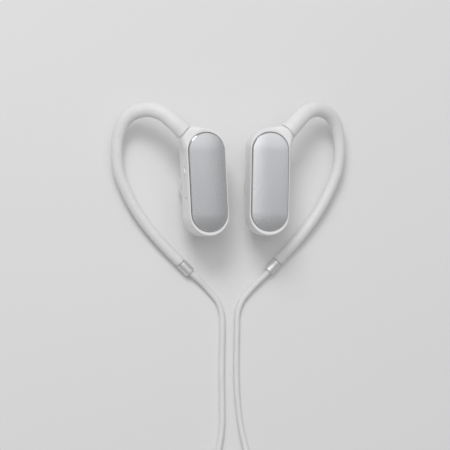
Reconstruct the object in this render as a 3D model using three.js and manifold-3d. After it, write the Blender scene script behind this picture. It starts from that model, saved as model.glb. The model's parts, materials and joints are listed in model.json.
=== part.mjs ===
// Neckband earphones: two pill-shaped pods with metal face plates, a rubber ear hook on each,
// and one thin cord that joins the ends of the hooks behind the wearer's neck.
// They lie on a table, face plates up (+Z) and hooks towards +Y, with the ear tips as feet.
// "right" is the wearer's right ear, at -X; "left" is the wearer's left ear, at +X.
// Both units are drawn on the +X side, where local +x points outwards; the right one is mirrored.

import * as THREE from 'three';
import { ConvexGeometry } from 'three/addons/geometries/ConvexGeometry.js';
import { mergeVertices } from 'three/addons/utils/BufferGeometryUtils.js';
import Module from 'manifold-3d';

const wasm = await Module();
wasm.setup();

// ---- Driving dimensions, in millimetres and degrees ----
const GAP = 0.3; // clearance between pieces that touch on the real object
const FIT = 0.2; // clearance between small inner pieces
const THROUGH = 2; // how far a cutting tool runs past the face that it cuts

const ORIGIN_Y = 0.5; // middle of the two ear units' footprint, in the drawing's own y
const POD = { x: 11.0, y: 2.4, lift: 7.14, lean: 2, tilt: 3 };
const BODY = { radius: 6.7, straight: 10.95, split: 5.15, rim: 11.4 };
const CAVITY = { radius: 5.5, floor: 1.2, ceiling: 9.4 };
const PLATE = { radius: 6.0, straight: 10.15, back: 11.0, front: 12.0, chamfer: 0.25 };
const POCKET_FLOOR = 10.6;
const GASKET = { outer: 5.3, inner: 4.95, low: 4.3, high: 5.9 };

const NOZZLE = { y: -1, neck: 1.9, lip: 2.2, bore: 1.35, length: 4.2 };
const MESH = { radius: 1.5, seat: 1.65, back: -3.85, front: -4.1, seatBack: -3.7 };
const TIP = { bore: 2.1, stem: 2.9, skirt: 6.05, back: -1.0, front: -7.0 };
const DRIVER = { radius: 3.6, low: 1.45, high: 4.4, wall: 0.4 };

const SEAM = { x: 6.06, y: 16.5, z: 8.2, heading: 43, dip: 8, radius: 3.05 };
const ANCHOR = { radius: 1.15, hole: 1.4, length: 4.0 };

// The hook's middle line on the +X side, from the seam at the pod down to the end ring.
const HOOK_LINE = [
  [20.7, 22.2, 15.1],
  [24.2, 25.2, 13.4],
  [28.6, 26.6, 10.8],
  [33.0, 25.5, 8.4],
  [35.9, 22.6, 6.8],
  [37.5, 17.9, 5.6],
  [37.9, 12.7, 4.8],
  [37.2, 6.6, 4.1],
  [34.6, 0.0, 3.4],
  [31.3, -6.2, 2.9],
  [27.1, -12.1, 2.5],
  [21.7, -18.3, 2.2],
  [16.6, -23.5, 1.95],
];
// Share of the hook's length and the tube's radius there.
const HOOK_TAPER = [
  [0, 3.0], [0.07, 2.7], [0.12, 2.56], [0.2, 2.5], [0.28, 2.3], [0.42, 1.8], [1, 1.75],
];
const HOOK_BORE = 0.95;
const HOOK_STEPS = 34;
const WIRE = { radius: 0.3, offset: 0.45 };
const RING = { radius: 1.75, bore: 1.25, length: 4.4 };

// The cord's middle line on each side, from the end ring to the top of the tied hank. Both are
// given on the +X side. The right one goes in under the hank's turns, the left one on top.
const CORD_RADIUS = 0.95;
const CORD_LINES = {
  right: [
    [12.9, -27.15, 1.85],
    [9.9, -29.75, 1.5],
    [6.9, -32.95, 1.1],
    [4.1, -36.4, 0.97],
    [2.7, -40.2, 0.97],
    [2.5, -45.0, 0.97],
    [2.7, -52.0, 0.97],
    [3.0, -61.0, 0.97],
    [3.0, -70.0, 0.97],
    [3.3, -79.0, 0.97],
    [4.7, -87.0, 0.97],
    [5.8, -93.9, 0.97],
  ],
  left: [
    [12.9, -27.4, 1.85],
    [9.4, -30.7, 1.5],
    [6.5, -33.8, 1.1],
    [4.1, -36.9, 0.97],
    [2.8, -40.6, 0.97],
    [2.5, -45.0, 0.97],
    [2.2, -52.0, 0.97],
    [2.0, -61.0, 0.97],
    [2.3, -70.0, 0.97],
    [3.3, -79.0, 1.1],
    [4.7, -86.5, 2.1],
    [5.8, -93.9, 4.9],
  ],
};
const CORD_START = 0.6; // how far inside the end ring the cord starts, as a share of its length
const HANK = { y: -114.6, run: 31, fold: 5.8, waist: 2.7, height: 7.6 };
const TIE = { length: 5.2, wall: 0.6, inside: 3.95, top: 8.6, corner: 1.6 };

const KEY = { length: 4.6, height: 2.3, z: 7.6, inner: 5.25, outer: 6.95, flange: 0.4, lip: 0.45 };
const KEY_PLACES = { volume_up_key: 7.5, function_key: 1.5, volume_down_key: -4.5 };
const SWITCH = { x: -3.85, depth: 1.0, length: 3.0, height: 1.8 };
const BOARD = { radius: 4.2, straight: 10.4, low: 5.7, high: 6.5 };
const LIGHT = { y: -8.8, radius: 0.5 };
const PORT = { y: 0, length: 7.5, height: 2.5, depth: 4.9, wall: 0.3, mouth: 5.2 };
const COVER = { length: 10.0, height: 3.0, z: 7.9, inner: 6.2, outer: 6.8, nub: 0.35 };

const PILL_SIDES = 24;
const ROUND_SIDES = 16;
const SMALL_SIDES = 12;
const DEGREE = Math.PI / 180;

// ---- Materials ----
function finish(color, roughness, metalness = 0) {
  return new THREE.MeshStandardMaterial({ color, roughness, metalness });
}

const WHITE_SHELL = finish(0xe9e9ea, 0.32);
const WHITE_RUBBER = finish(0xe4e4e5, 0.55);
const CLEAR_SILICONE = finish(0xf0f0ee, 0.5);
const SILVER_PLATE = finish(0xb2b4b8, 0.38, 0.9);
const SATIN_METAL = finish(0xbfc0c2, 0.3, 1);
const STEEL = finish(0x9c9ea2, 0.35, 1);
const DARK_MESH = finish(0x55575a, 0.6, 0.8);
const BLACK_FOAM = finish(0x2c2c2e, 0.9);
const CIRCUIT_GREEN = finish(0x1f5a3c, 0.5);
const CHIP_BLACK = finish(0x1d1d20, 0.45);
const COPPER = finish(0xb87345, 0.35, 1);
const FOIL = finish(0xc9cacd, 0.4, 0.7);
const LIGHT_GUIDE = finish(0xf4f6f8, 0.2);
const TIE_GREY = finish(0xd7d7d8, 0.7);

// ---- Geometry helpers ----
function closed(geometry) {
  const bare = geometry.clone();
  bare.deleteAttribute('normal');
  bare.deleteAttribute('uv');
  const merged = mergeVertices(bare, 1e-4);
  const corners = merged.index.array;
  const place = merged.attributes.position;
  const kept = [];
  let volume = 0;
  for (let i = 0; i < corners.length; i += 3) {
    const [a, b, c] = corners.slice(i, i + 3);
    if (a === b || b === c || c === a) continue;
    kept.push(a, b, c);
    const [pa, pb, pc] = [a, b, c].map((k) => new THREE.Vector3().fromBufferAttribute(place, k));
    volume += pa.dot(pb.cross(pc));
  }
  if (volume < 0) kept.reverse();
  merged.setIndex(kept);
  return merged;
}

function toSolid(geometry) {
  const mesh = closed(geometry);
  return new wasm.Manifold(new wasm.Mesh({
    numProp: 3,
    vertProperties: Float32Array.from(mesh.attributes.position.array),
    triVerts: Uint32Array.from(mesh.index.array),
  }));
}

function fromSolid(solid) {
  const mesh = solid.getMesh();
  const geometry = new THREE.BufferGeometry();
  geometry.setAttribute('position', new THREE.BufferAttribute(mesh.vertProperties, 3));
  geometry.setIndex(Array.from(mesh.triVerts));
  return geometry;
}

function cut(body, ...tools) {
  const left = tools.reduce((solid, tool) => solid.subtract(toSolid(tool)), toSolid(body));
  return fromSolid(left);
}

function join(...bodies) {
  return fromSolid(bodies.map(toSolid).reduce((whole, body) => whole.add(body)));
}

// A turned body about +Z from [radius, z] pairs. They start and end on the axis, or close on
// themselves.
function turned(profile, sides = ROUND_SIDES) {
  const points = profile.map(([radius, z]) => new THREE.Vector2(radius, z));
  return closed(new THREE.LatheGeometry(points, sides).rotateX(Math.PI / 2));
}

// A pill: a turned body whose two halves are pulled apart along Y, so each radius is an offset from
// the straight line between them. The polygon is drawn round the circle, so flat sides are true.
function pill(profile, straight) {
  const grow = 1 / Math.cos(Math.PI / PILL_SIDES);
  const points = profile.map(([radius, z]) => new THREE.Vector2(radius * grow, z));
  const body = new THREE.LatheGeometry(points, PILL_SIDES, Math.PI / PILL_SIDES);
  body.rotateX(Math.PI / 2);
  const place = body.attributes.position;
  for (let i = 0; i < place.count; i += 1) {
    const y = place.getY(i);
    if (Math.abs(y) > 1e-3) place.setY(i, y + Math.sign(y) * straight);
  }
  return closed(body);
}

function ring(inner, outer, low, high) {
  return [[inner, low], [outer, low], [outer, high], [inner, high], [inner, low]];
}

function disc(radius, low, high) {
  return [[0, low], [radius, low], [radius, high], [0, high]];
}

function block(low, high) {
  const size = high.map((value, k) => value - low[k]);
  const middle = high.map((value, k) => (value + low[k]) / 2);
  return new THREE.BoxGeometry(...size).translate(...middle);
}

// A bar along X with a stadium section: length along Y, height along Z.
function stadiumBar(length, height, fromX, toX, y, z) {
  const radius = height / 2;
  const half = length / 2 - radius;
  const outline = new THREE.Shape();
  outline.absarc(half, 0, radius, -Math.PI / 2, Math.PI / 2);
  outline.absarc(-half, 0, radius, Math.PI / 2, Math.PI * 1.5);
  const bar = new THREE.ExtrudeGeometry(outline, {
    depth: toX - fromX, bevelEnabled: false, curveSegments: 5,
  });
  bar.rotateZ(Math.PI / 2).rotateY(Math.PI / 2);
  return closed(bar.translate(fromX, y, z));
}

// A tube of changing radius along a curve. With a bore it is open at both ends.
function sweptTube({ curve, steps, sides, radiusAt, bore = 0, offset = 0 }) {
  const frames = curve.computeFrenetFrames(steps, false);
  const corners = [];
  const faces = [];
  const addRing = (step, radius) => {
    const centre = curve.getPointAt(step / steps);
    const across = frames.normals[step];
    const up = frames.binormals[step];
    centre.addScaledVector(across, offset);
    for (let k = 0; k < sides; k += 1) {
      const turn = (k / sides) * Math.PI * 2;
      const point = centre.clone().addScaledVector(across, radius * Math.cos(turn));
      corners.push(...point.addScaledVector(up, radius * Math.sin(turn)).toArray());
    }
  };
  const band = (first, second) => {
    for (let k = 0; k < sides; k += 1) {
      const next = (k + 1) % sides;
      faces.push(first + k, first + next, second + k);
      faces.push(first + next, second + next, second + k);
    }
  };
  for (let step = 0; step <= steps; step += 1) addRing(step, radiusAt(step / steps));
  for (let step = 0; step < steps; step += 1) band(step * sides, (step + 1) * sides);
  const last = steps * sides;
  if (bore > 0) {
    const inner = last + sides;
    for (let step = 0; step <= steps; step += 1) addRing(step, bore);
    for (let step = 0; step < steps; step += 1) {
      band(inner + (step + 1) * sides, inner + step * sides);
    }
    band(inner, 0);
    band(last, inner + steps * sides);
  } else {
    for (let k = 1; k < sides - 1; k += 1) {
      faces.push(0, k + 1, k);
      faces.push(last, last + k, last + k + 1);
    }
  }
  const geometry = new THREE.BufferGeometry();
  geometry.setAttribute('position', new THREE.Float32BufferAttribute(corners, 3));
  geometry.setIndex(faces);
  return geometry;
}

function smoothLine(points) {
  return new THREE.CatmullRomCurve3(points, false, 'centripetal');
}

function add(parent, name, geometry, material) {
  const mesh = new THREE.Mesh(geometry, material);
  mesh.name = name;
  parent.add(mesh);
  return mesh;
}

// ---- The neck of the pod, where the hook plugs in (pod frame) ----
const seamPoint = new THREE.Vector3(SEAM.x, SEAM.y, SEAM.z);
const seamHeading = new THREE.Vector3(
  Math.cos(SEAM.heading * DEGREE) * Math.cos(SEAM.dip * DEGREE),
  Math.sin(SEAM.heading * DEGREE) * Math.cos(SEAM.dip * DEGREE),
  -Math.sin(SEAM.dip * DEGREE),
);
const UP = new THREE.Vector3(0, 0, 1);
const alongNeck = new THREE.Quaternion().setFromUnitVectors(UP, seamHeading);

function onNeck(geometry) {
  return geometry.applyQuaternion(alongNeck).translate(...seamPoint.toArray());
}

function circlePoints(centre, radius, turn = new THREE.Quaternion()) {
  return Array.from({ length: PILL_SIDES }, (_, k) => {
    const angle = ((k + 0.5) / PILL_SIDES) * Math.PI * 2;
    const point = new THREE.Vector3(Math.cos(angle), Math.sin(angle), 0);
    return point.multiplyScalar(radius).applyQuaternion(turn).add(centre);
  });
}

function neck() {
  const levels = [[6.55, BODY.split + 0.35], [6.66, 7.6], [6.5, 10.6]];
  const root = levels.flatMap(([radius, z]) => (
    circlePoints(new THREE.Vector3(0, BODY.straight, z), radius)
  ));
  return new ConvexGeometry([...root, ...circlePoints(seamPoint, SEAM.radius, alongNeck)]);
}

// ---- Pod shells ----
function outerShellBlank() {
  const low = BODY.split + GAP / 2;
  const body = pill([
    [0, low],
    [BODY.radius - 0.05, low],
    [BODY.radius, 7.4],
    [BODY.radius - 0.03, 9.6],
    [BODY.radius - 0.1, 10.8],
    [BODY.radius - 0.25, BODY.rim],
    [0, BODY.rim],
  ], BODY.straight);
  const cavity = pill(disc(CAVITY.radius, low - THROUGH, CAVITY.ceiling), BODY.straight);
  const pocketRadius = PLATE.radius + GAP;
  const platePocket = pill(disc(pocketRadius, POCKET_FLOOR, BODY.rim + THROUGH), PLATE.straight);
  const anchorHole = onNeck(turned(disc(ANCHOR.hole, -ANCHOR.length - 0.5, THROUGH), SMALL_SIDES));
  return cut(join(body, neck()), cavity, platePocket, anchorHole);
}

function innerShell() {
  const high = BODY.split - GAP / 2;
  const cup = pill([
    [0, 0],
    [4.3, 0],
    [5.5, 0.45],
    [6.25, 1.6],
    [6.58, 3.2],
    [BODY.radius - 0.05, high],
    [CAVITY.radius, high],
    [CAVITY.radius, 2.4],
    [4.7, CAVITY.floor],
    [0, CAVITY.floor],
  ], BODY.straight);
  const spout = turned([
    [0, 0.6],
    [3.6, 0.6],
    [3.6, 0],
    [2.4, -0.65],
    [NOZZLE.neck, -0.9],
    [NOZZLE.neck, -3.2],
    [NOZZLE.lip, -3.4],
    [NOZZLE.lip, -3.9],
    [2.0, -NOZZLE.length],
    [0, -NOZZLE.length],
  ]);
  const soundHole = turned([
    [0, CAVITY.floor + THROUGH],
    [NOZZLE.bore, CAVITY.floor + THROUGH],
    [NOZZLE.bore, MESH.seatBack],
    [MESH.seat, MESH.seatBack],
    [MESH.seat, -NOZZLE.length - THROUGH],
    [0, -NOZZLE.length - THROUGH],
  ]);
  return cut(join(cup, spout.translate(0, NOZZLE.y, 0)), soundHole.translate(0, NOZZLE.y, 0));
}

function facePlate() {
  const { radius, back, front, chamfer } = PLATE;
  return pill([
    [0, back],
    [radius, back],
    [radius, front - chamfer],
    [radius - chamfer, front],
    [0, front],
  ], PLATE.straight);
}

// ---- Sound parts, centred on the nozzle ----
function earTip() {
  return turned([
    [TIP.bore, TIP.back],
    [TIP.stem, TIP.back],
    [TIP.stem, -5.8],
    [4.2, -5.4],
    [5.1, -4.3],
    [5.5, -2.2],
    [6.0, -2.2],
    [TIP.skirt, -3.4],
    [5.6, -4.9],
    [4.7, -6.2],
    [3.3, -6.9],
    [2.7, TIP.front],
    [TIP.bore, -6.6],
    [TIP.bore, -4.35],
    [2.45, -4.2],
    [2.45, -3.1],
    [TIP.bore, -2.95],
    [TIP.bore, TIP.back],
  ]);
}

function driverFrame() {
  const { radius, low, high, wall } = DRIVER;
  return turned([
    [radius - wall, low],
    [radius, low],
    [radius, high],
    [0.6, high],
    [0.6, high - wall],
    [radius - wall, high - wall],
    [radius - wall, low],
  ]);
}

function diaphragm() {
  const radius = DRIVER.radius - DRIVER.wall - FIT;
  return turned([[0, 1.35], [1.4, 1.5], [radius, 1.5], [radius, 1.7], [1.4, 1.75], [0, 1.6]]);
}

function addSoundParts(pod, side) {
  const sound = new THREE.Group();
  sound.position.y = NOZZLE.y;
  pod.add(sound);
  add(sound, `${side}_ear_tip`, earTip(), CLEAR_SILICONE);
  add(sound, `${side}_nozzle_mesh`, turned(disc(MESH.radius, MESH.front, MESH.back)), DARK_MESH);
  add(sound, `${side}_driver_frame`, driverFrame(), STEEL);
  add(sound, `${side}_driver_diaphragm`, diaphragm(), LIGHT_GUIDE);
  add(sound, `${side}_driver_coil`, turned(ring(1.9, 2.2, 1.95, 2.6)), COPPER);
  add(sound, `${side}_driver_magnet`, turned(disc(2.5, 2.8, 3.8)), STEEL);
}

// ---- Parts that only the right pod holds ----
function keySlots() {
  return Object.values(KEY_PLACES).map((y) => (
    stadiumBar(KEY.length + GAP, KEY.height + GAP, -KEY.outer - 1, -CAVITY.radius + 1, y, KEY.z)
  ));
}

function key(y) {
  const cap = stadiumBar(KEY.length, KEY.height, -KEY.outer, -KEY.inner + 0.1, y, KEY.z);
  const { lip, flange } = KEY;
  const inside = stadiumBar(
    KEY.length + 2 * lip, KEY.height + 2 * lip, -KEY.inner, -KEY.inner + flange, y, KEY.z,
  );
  return join(cap, inside);
}

function portCover() {
  const halfLength = COVER.length / 2;
  const halfHeight = COVER.height / 2;
  const lid = block(
    [COVER.inner, -halfLength, COVER.z - halfHeight],
    [COVER.outer, halfLength, COVER.z + halfHeight],
  );
  const plug = block([5.5, -3.1, COVER.z - 0.6], [COVER.inner + 0.1, 3.1, COVER.z + 0.6]);
  const nub = stadiumBar(
    2.0, 0.9, COVER.inner + 0.2, COVER.outer + COVER.nub, halfLength - 1.1, COVER.z,
  );
  return join(lid, plug, nub);
}

function coverPocket() {
  const halfLength = COVER.length / 2 + 0.25;
  const halfHeight = COVER.height / 2 + 0.2;
  const seat = block(
    [COVER.inner - FIT, -halfLength, COVER.z - halfHeight],
    [COVER.outer + THROUGH, halfLength, COVER.z + halfHeight],
  );
  const mouth = block([4.5, -3.5, COVER.z - 0.9], [COVER.outer + THROUGH, 3.5, COVER.z + 0.9]);
  return [seat, mouth];
}

function usbConnector() {
  const half = PORT.length / 2;
  const low = BOARD.high + FIT;
  const shell = block(
    [PORT.mouth - PORT.depth, PORT.y - half, low],
    [PORT.mouth, PORT.y + half, low + PORT.height],
  );
  const mouth = block(
    [PORT.mouth - 4.2, PORT.y - half + PORT.wall, low + PORT.wall],
    [PORT.mouth + THROUGH, PORT.y + half - PORT.wall, low + PORT.height - PORT.wall],
  );
  return cut(shell, mouth);
}

function soundInlet() {
  const hole = turned(disc(0.5, -THROUGH, THROUGH), SMALL_SIDES).rotateX(Math.PI / 2);
  return hole.translate(0, -BODY.straight - 6.1, KEY.z);
}

function lightHole(radius, fromX, toX) {
  const bar = turned(disc(radius, fromX, toX), SMALL_SIDES).rotateY(Math.PI / 2);
  return bar.translate(0, LIGHT.y, KEY.z);
}

function onBoard(x, y, size) {
  const [length, width, height] = size;
  const low = BOARD.high + FIT;
  return block([x - length / 2, y - width / 2, low], [x + length / 2, y + width / 2, low + height]);
}

function addRightParts(pod) {
  const lightEnd = -BODY.radius + 0.02;
  add(pod, 'right_outer_shell', cut(
    outerShellBlank(), ...keySlots(), ...coverPocket(), soundInlet(),
    lightHole(LIGHT.radius + FIT, -BODY.radius - 1, -CAVITY.radius + 1),
  ), WHITE_SHELL);
  add(pod, 'port_cover', portCover(), WHITE_RUBBER);
  for (const [name, y] of Object.entries(KEY_PLACES)) {
    add(pod, name, key(y), WHITE_RUBBER);
    const { x, depth, length, height } = SWITCH;
    add(pod, name.replace('key', 'switch'), onBoard(x, y, [depth, length, height]), STEEL);
  }
  add(pod, 'status_light_pipe', lightHole(LIGHT.radius, lightEnd, -4.7), LIGHT_GUIDE);
  add(pod, 'status_led', onBoard(-3.7, LIGHT.y, [1.0, 1.2, 1.4]), LIGHT_GUIDE);
  const board = pill(disc(BOARD.radius, BOARD.low, BOARD.high), BOARD.straight);
  add(pod, 'main_circuit_board', board, CIRCUIT_GREEN);
  add(pod, 'usb_connector', usbConnector(), STEEL);
  add(pod, 'bluetooth_module', onBoard(-0.3, 8.6, [5.0, 6.0, 1.2]), CHIP_BLACK);
  add(pod, 'chip_antenna', onBoard(-0.8, 13.0, [3.2, 1.6, 1.0]), TIE_GREY);
  add(pod, 'microphone', onBoard(0, -12.2, [3.2, 2.2, 1.1]), FOIL);
}

// ---- Parts that only the left pod holds ----
function addLeftParts(pod) {
  add(pod, 'left_outer_shell', outerShellBlank(), WHITE_SHELL);
  const pack = pill([[0, 4.8], [3.9, 4.8], [4.6, 5.4], [4.6, 8.4], [3.9, 9.0], [0, 9.0]], 5.6);
  add(pod, 'battery', pack.translate(0, -1.6, 0), FOIL);
  add(pod, 'battery_board', block([-3.2, 9.4, 5.6], [3.2, 12.6, 6.4]), CIRCUIT_GREEN);
}

// ---- One ear unit ----
function addPod(unit, side) {
  const pod = new THREE.Group();
  pod.position.set(POD.x, POD.y, POD.lift);
  pod.rotation.set(0, -POD.tilt * DEGREE, -POD.lean * DEGREE);
  unit.add(pod);
  const tape = pill(disc(PLATE.radius - 0.5, POCKET_FLOOR + 0.1, PLATE.back - 0.1), PLATE.straight);
  const gasket = pill(ring(GASKET.inner, GASKET.outer, GASKET.low, GASKET.high), BODY.straight);
  const anchor = turned(disc(ANCHOR.radius, -ANCHOR.length, -FIT), SMALL_SIDES);
  add(pod, `${side}_face_plate`, facePlate(), SILVER_PLATE);
  add(pod, `${side}_plate_tape`, tape, BLACK_FOAM);
  add(pod, `${side}_inner_shell`, innerShell(), WHITE_SHELL);
  add(pod, `${side}_shell_gasket`, gasket, BLACK_FOAM);
  add(pod, `${side}_hook_anchor`, onNeck(anchor), STEEL);
  addSoundParts(pod, side);
  return pod;
}

function radiusOfHook(share) {
  const next = Math.max(1, HOOK_TAPER.findIndex(([stop]) => stop >= share));
  const [[fromShare, from], [toShare, to]] = [HOOK_TAPER[next - 1], HOOK_TAPER[next]];
  return THREE.MathUtils.lerp(from, to, (share - fromShare) / (toShare - fromShare));
}

function hookCurve(pod) {
  pod.updateMatrix();
  const root = seamPoint.clone().addScaledVector(seamHeading, GAP).applyMatrix4(pod.matrix);
  return smoothLine([root, ...HOOK_LINE.map((point) => new THREE.Vector3(...point))]);
}

function addHook(unit, side, curve) {
  const shared = { curve, steps: HOOK_STEPS };
  add(unit, `${side}_ear_hook`, sweptTube({
    ...shared, sides: 10, radiusAt: radiusOfHook, bore: HOOK_BORE,
  }), WHITE_RUBBER);
  add(unit, `${side}_hook_memory_wire`, sweptTube({
    ...shared, sides: 4, radiusAt: () => WIRE.radius, offset: WIRE.offset,
  }), STEEL);
  add(unit, `${side}_hook_signal_lead`, sweptTube({
    ...shared, sides: 4, radiusAt: () => WIRE.radius, offset: -WIRE.offset,
  }), COPPER);
}

function addEndRing(unit, side, curve) {
  const start = curve.getPointAt(1);
  const heading = curve.getTangentAt(1);
  const turn = new THREE.Quaternion().setFromUnitVectors(UP, heading);
  const { bore, radius, length } = RING;
  const bevel = 0.25;
  const band = turned([
    [bore, 0],
    [radius - bevel, 0],
    [radius, bevel],
    [radius, length - bevel],
    [radius - bevel, length],
    [bore, length],
    [bore, 0],
  ]);
  band.translate(0, 0, GAP).applyQuaternion(turn).translate(...start.toArray());
  add(unit, `${side}_end_ring`, band, SATIN_METAL);
  return start.addScaledVector(heading, GAP + RING.length * CORD_START);
}

function addUnit(parent, side) {
  const unit = new THREE.Group();
  parent.add(unit);
  const pod = addPod(unit, side);
  const curve = hookCurve(pod);
  addHook(unit, side, curve);
  const cordStart = addEndRing(unit, side, curve);
  if (side === 'right') addRightParts(pod);
  else addLeftParts(pod);
  return cordStart;
}

// ---- The neck cord and its tied hank ----
function addCordHalf(parent, side, start) {
  const route = CORD_LINES[side].map((point) => new THREE.Vector3(...point));
  const cord = sweptTube({
    curve: smoothLine([start, ...route]), steps: 22, sides: 8, radiusAt: () => CORD_RADIUS,
  });
  add(parent, `${side}_neck_cord`, cord, WHITE_RUBBER);
}

// The hank's outline narrows to a waist where the tie gathers it.
function hankHalfWidth(share) {
  const bulge = THREE.MathUtils.smoothstep(Math.abs(share), 0.15, 1);
  return THREE.MathUtils.lerp(HANK.waist, HANK.fold, bulge) + CORD_RADIUS;
}

function hank() {
  const radius = HANK.fold + CORD_RADIUS;
  const half = HANK.run / 2;
  const outline = new THREE.Shape();
  const shares = [1, 0.75, 0.5, 0.25, 0, -0.25, -0.5, -0.75, -1];
  outline.absarc(0, half, radius, 0, Math.PI);
  for (const share of shares.slice(1, -1)) outline.lineTo(-hankHalfWidth(share), share * half);
  outline.absarc(0, -half, radius, Math.PI, Math.PI * 2);
  for (const share of shares.slice(1, -1)) outline.lineTo(hankHalfWidth(share), -share * half);
  const body = new THREE.ExtrudeGeometry(outline, {
    depth: HANK.height, bevelEnabled: false, curveSegments: 8,
  });
  const room = TIE.length / 2 + GAP;
  const low = TIE.wall + GAP;
  const underTie = block([-radius, -room, -THROUGH], [radius, room, low]);
  return cut(body, underTie).translate(0, HANK.y, 0);
}

function roundedBox(halfWidth, low, high, radius) {
  const outline = new THREE.Path();
  const x = halfWidth - radius;
  outline.absarc(x, high - radius, radius, 0, Math.PI / 2);
  outline.absarc(-x, high - radius, radius, Math.PI / 2, Math.PI);
  outline.absarc(-x, low + radius, radius, Math.PI, Math.PI * 1.5);
  outline.absarc(x, low + radius, radius, Math.PI * 1.5, Math.PI * 2);
  return outline;
}

function tie() {
  const { wall, inside, top, corner, length } = TIE;
  const outline = new THREE.Shape(roundedBox(inside + wall, 0, top, corner).getPoints(3));
  outline.holes.push(roundedBox(inside, wall, top - wall, corner - wall));
  const strap = new THREE.ExtrudeGeometry(outline, {
    depth: length, bevelEnabled: false, curveSegments: 3,
  });
  return strap.rotateX(Math.PI / 2).translate(0, HANK.y + length / 2, 0);
}

// ---- The whole object ----
const group = new THREE.Group();
group.position.y = -ORIGIN_Y;
for (const side of ['left', 'right']) {
  const half = new THREE.Group();
  if (side === 'right') half.scale.x = -1;
  group.add(half);
  addCordHalf(half, side, addUnit(half, side));
}
add(group, 'cord_hank', hank(), WHITE_RUBBER);
add(group, 'cord_tie', tie(), TIE_GREY);

export default group;
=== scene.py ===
import json
import math

import bpy
import bmesh
from mathutils import Matrix, Vector


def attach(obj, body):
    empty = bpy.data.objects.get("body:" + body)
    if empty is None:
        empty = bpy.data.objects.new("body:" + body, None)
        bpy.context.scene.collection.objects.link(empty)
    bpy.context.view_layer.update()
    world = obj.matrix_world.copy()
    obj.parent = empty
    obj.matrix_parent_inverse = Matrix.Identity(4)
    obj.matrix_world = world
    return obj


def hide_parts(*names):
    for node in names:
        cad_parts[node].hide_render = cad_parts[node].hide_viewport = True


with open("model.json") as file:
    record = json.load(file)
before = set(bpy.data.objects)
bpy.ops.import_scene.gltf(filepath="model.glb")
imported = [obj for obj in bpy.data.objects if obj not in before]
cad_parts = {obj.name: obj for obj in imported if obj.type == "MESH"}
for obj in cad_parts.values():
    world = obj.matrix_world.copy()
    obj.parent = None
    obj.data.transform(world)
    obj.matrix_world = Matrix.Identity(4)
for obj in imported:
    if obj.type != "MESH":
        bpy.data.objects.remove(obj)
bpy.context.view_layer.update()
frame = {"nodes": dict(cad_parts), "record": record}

# Neckband earphones on a pale table, seen from above. Objects are in metres, in the CAD frame.
# A pod is built in its own frame, in millimetres: x outwards, y towards the hook, z out of the
# face plate. Both pods are built as the left one, and the right one is its mirror image.
# Outlines are lists of (radius, height) in millimetres, and angles are in degrees.

MM = 0.001
SIDES = ("left", "right")
ROOT = "headset"
RECORD = frame["record"]
SHARP_ANGLE = 35  # edges that turn further than this are shaded sharp

# ---- The pod's shells ----
BODY = {"radius": 6.7, "straight": 10.95, "split": 5.15, "rim": 11.4}
CAVITY = {"radius": 5.5, "floor": 1.2, "ceiling": 9.4, "fillet": 1.2}
SPLIT = {"gap": 0.06, "edge": 0.12}
# The wall narrows by its draft over draft_over, up and down from its widest height, and rounds
# over from round_from up to the rim.
WALL = {
    "widest": 7.4, "draft": 0.03, "draft_over": 2.3,
    "round_from": 9.9, "round_in": 0.22, "rim_in": 0.05,
}
RIM_STEPS = (0.13, 0.09, 0.06, 0.035, 0.015, 0.005)  # ring heights below the rim
BOTTOM = {
    "flat": [(3.0, 0.0), (4.3, 0.02)], "centre": (4.5, 2.1), "radius": 2.08,
    "wall": [(6.6, 2.6), (6.62, 3.6)], "top_radius": 6.64, "floor_edge": 2.0,
}
POCKET = {"radius": 6.2, "floor": 10.6}
# The plate lies low_by nearer to the pod's lower end than the middle of its pocket.
PLATE = {
    "radius": 6.05, "straight": 10.15, "back": 11.0, "front": 12.0, "low_by": 0.06,
    "shoulder": 0.16, "bevel_in": 0.28, "bevel_down": 0.17, "crown": 0.25, "steps": 17,
}

# ---- The neck, where the hook joins the pod ----
# heading and dip are the hook's direction there. The hook's route starts gap past the neck's end
# face, less back.
SEAM = {
    "x": 6.06, "y": 16.5, "z": 8.2, "heading": 43.0, "dip": 8.0, "radius": 3.05,
    "gap": 0.3, "back": 0.14, "blend": 0.12, "least_facing": 0.05, "just_inside": 0.9995,
}
NECK_STEPS = 12

# ---- The nozzle under the pod ----
NOZZLE_Y = -1.0
SPOUT = {
    "root": 3.6, "bore": 1.35, "gauze_seat": 1.65, "end": -4.2, "on_axis": 0.001,
    "barb": [(1.9, -3.1), (1.95, -3.3), (2.2, -3.5), (2.2, -3.9), (2.1, -4.15), (1.9, -4.2)],
}

# ---- Keys, status light and microphone in the right pod's walls ----
KEYS = {"volume_up": 7.5, "function": 1.5, "volume_down": -4.5}  # y of each key
# dish holds (radius, depth below the key's top).
KEY = {
    "z": 7.6, "length": 4.6, "width": 2.3, "top": 6.95, "corner": 0.2, "gap": 0.16,
    "flange": 0.43, "flange_from": 4.9, "flange_to": 5.22,
    "dish": [(0.7, 0.0), (0.5, 0.03), (0.2, 0.05)],
}
CUT = {"inside": 4.4, "outside": 8.2}  # how far a cut reaches through the side wall
LIGHT_HOLE = {"y": -8.8, "radius": 0.62, "straight": 0.001, "outside": 8.0}
# The microphone's hole runs between two distances past the end of the pod's straight part.
MICROPHONE = {"radius": 0.45, "sides": 24, "from": 8, "to": 5}

# ---- The port and its cover in the right pod's outer wall ----
# steps holds (height above the lid's back, inset of the lid's outline).
COVER = {
    "z": 7.9, "half_length": 5.0, "half_height": 1.5, "corner": 0.45, "least_corner": 0.3,
    "back": 6.2, "steps": [(0.0, 0.05), (0.05, 0.0), (0.4, 0.0), (0.5, 0.05), (0.53, 0.2)],
    "gap": 0.08, "seat_floor": 6.0, "seat_corner": 0.5, "cut_to": 8.5,
}
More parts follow.
